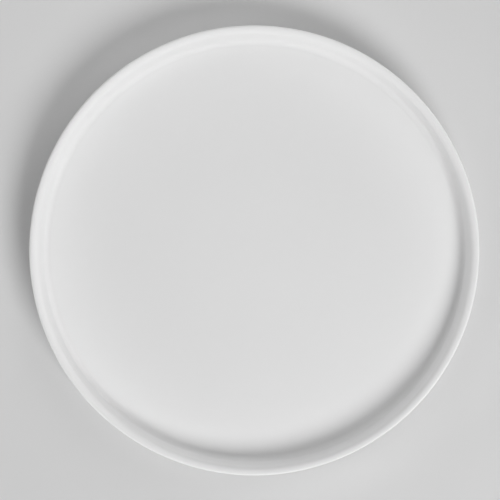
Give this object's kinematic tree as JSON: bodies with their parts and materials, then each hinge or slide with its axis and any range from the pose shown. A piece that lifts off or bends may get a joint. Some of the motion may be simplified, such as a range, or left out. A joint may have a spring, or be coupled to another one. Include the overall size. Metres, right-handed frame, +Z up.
{
  "type": "dinner plate",
  "caption": "Round dinner plate with a flat floor, a low upright rim with a softly rounded lip, and a bare foot ring, in satin white glaze, for serving food.",
  "frame": {"origin": "centre of the foot ring, on the surface that the plate stands on", "axes": "+Z up along the plate's axis of revolution; X and Y lie in the table"},
  "size_m": [0.27, 0.27, 0.025],
  "materials": {
    "bare_clay": "matte, fine grained",
    "face_glaze": "satin",
    "base_glaze": "satin"
  },
  "bodies": {
    "root": {"clay_body": "bare_clay", "face_glaze": "face_glaze", "base_glaze": "base_glaze"}
  },
  "joints": []
}
